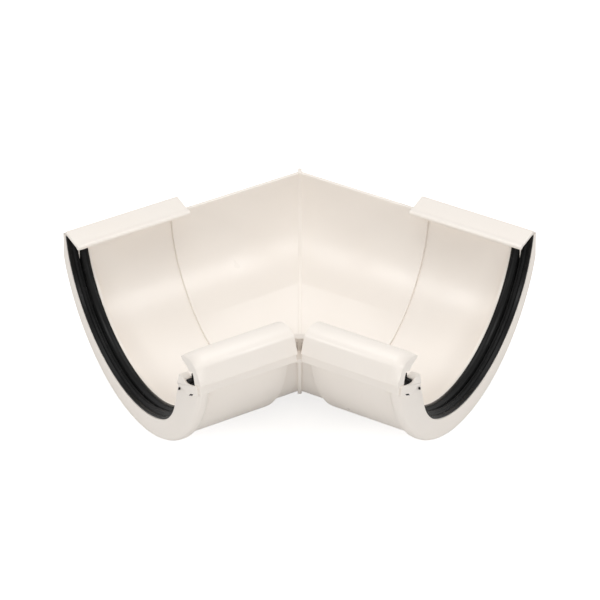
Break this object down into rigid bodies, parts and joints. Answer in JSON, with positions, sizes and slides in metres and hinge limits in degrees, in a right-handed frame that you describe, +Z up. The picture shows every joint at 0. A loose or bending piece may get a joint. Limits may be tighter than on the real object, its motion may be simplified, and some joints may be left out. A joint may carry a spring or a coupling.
{
  "type": "internal gutter angle",
  "caption": "Half-round roof gutter fitting that turns a run round an inside corner, with seals in its sockets, flat rear clips and curled front hoods.",
  "frame": {"origin": "on the ground under the middle of the outline, with the part standing on its rounded undersides", "axes": "+X from the left arm's side to the right arm's side, +Z up, -Y towards the inside of the corner, where the front hoods are"},
  "size_m": [0.2162, 0.1708, 0.0721],
  "materials": {
    "cream_pvc": "smooth moulded cream-white PVC with a soft gloss",
    "black_rubber": "dull black rubber with fine lengthwise ribs"
  },
  "bodies": {
    "root": {"gutter_angle_body": "cream_pvc", "seal_left": "black_rubber", "seal_right": "black_rubber"}
  },
  "joints": []
}
